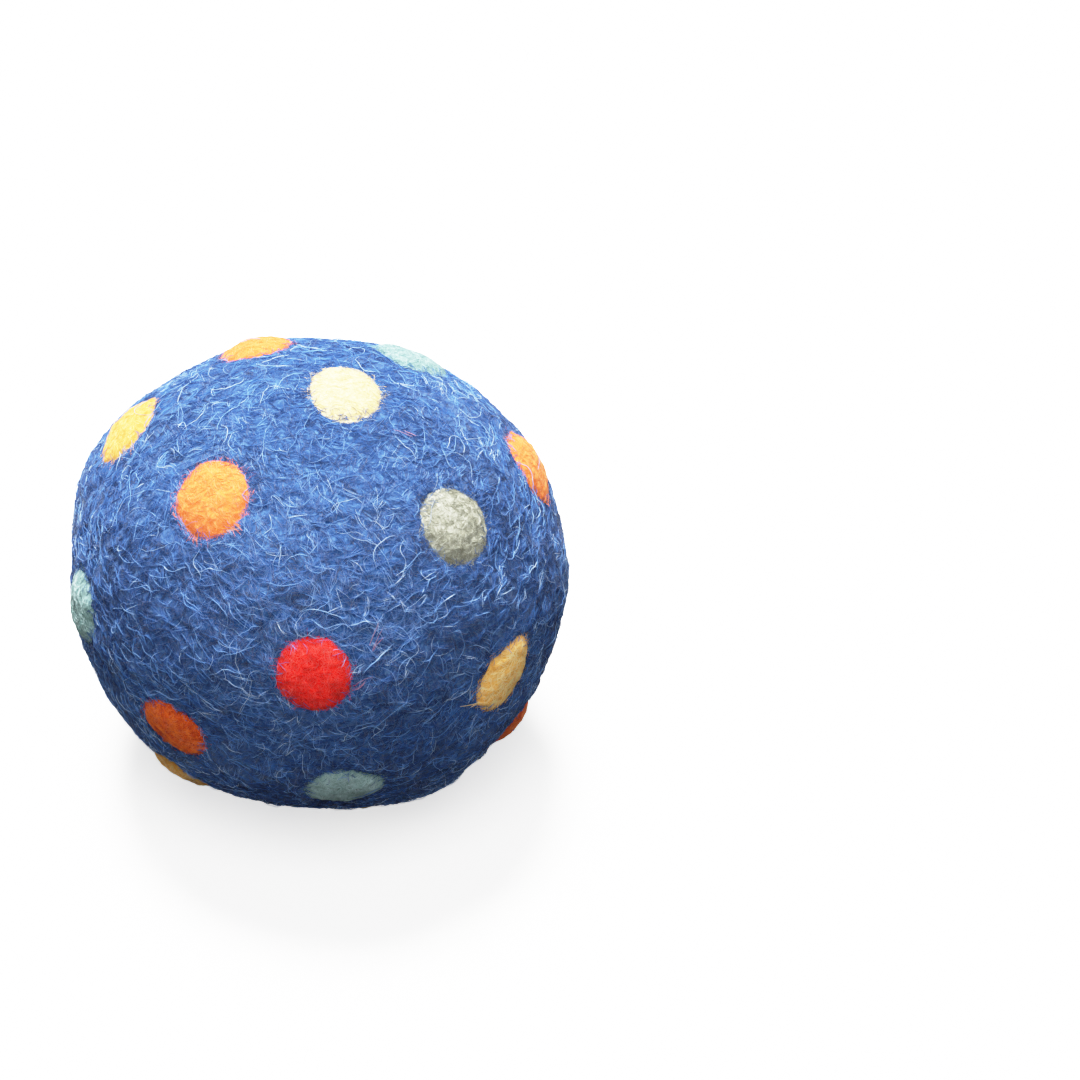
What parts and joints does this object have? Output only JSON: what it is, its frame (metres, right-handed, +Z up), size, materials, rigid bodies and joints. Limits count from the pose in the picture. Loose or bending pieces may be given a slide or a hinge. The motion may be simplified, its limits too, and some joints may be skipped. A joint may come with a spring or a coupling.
{
  "type": "dryer ball",
  "caption": "Slightly flattened felted wool ball with round coloured felt dots needled into its blue skin, for tumbling with laundry.",
  "frame": {"origin": "middle of the small flat the ball stands on", "axes": "+Z up through the ball's centre, -Y towards the camera's side, +X to its right"},
  "size_m": [0.0763, 0.0752, 0.0736],
  "materials": {
    "blue_felt": "heathered felted wool, matted and matt",
    "undyed_yarn": "wound undyed wool yarn",
    "undyed_batt": "carded undyed wool",
    "apricot_felt": "needled wool felt, matt",
    "aqua_felt": "needled wool felt, matt",
    "cream_felt": "needled wool felt, matt",
    "grey_felt": "needled wool felt, matt",
    "red_felt": "needled wool felt, matt",
    "rust_felt": "needled wool felt, matt",
    "yellow_felt": "needled wool felt, matt"
  },
  "bodies": {
    "root": {"yarn_core": "undyed_yarn", "batt_wrap_inner": "undyed_batt", "batt_wrap_middle": "undyed_batt", "batt_wrap_outer": "undyed_batt", "blue_skin": "blue_felt", "dot_top_cream": "cream_felt", "dot_front_apricot": "apricot_felt", "dot_front_grey": "grey_felt", "dot_back_apricot": "apricot_felt", "dot_back_aqua": "aqua_felt", "dot_left_yellow": "yellow_felt", "dot_right_apricot": "apricot_felt", "dot_front_red": "red_felt", "dot_back_grey": "grey_felt", "dot_back_cream": "cream_felt", "dot_back_red": "red_felt", "dot_front_yellow": "yellow_felt", "dot_left_aqua": "aqua_felt", "dot_left_red": "red_felt", "dot_front_rust": "rust_felt", "dot_right_yellow": "yellow_felt", "dot_front_aqua": "aqua_felt", "dot_low_apricot": "apricot_felt", "dot_low_grey": "grey_felt", "dot_low_cream": "cream_felt", "dot_low_rust": "rust_felt", "dot_low_aqua": "aqua_felt", "dot_low_yellow": "yellow_felt", "dot_under_cream": "cream_felt", "dot_under_red": "red_felt", "dot_under_aqua": "aqua_felt"}
  },
  "joints": []
}
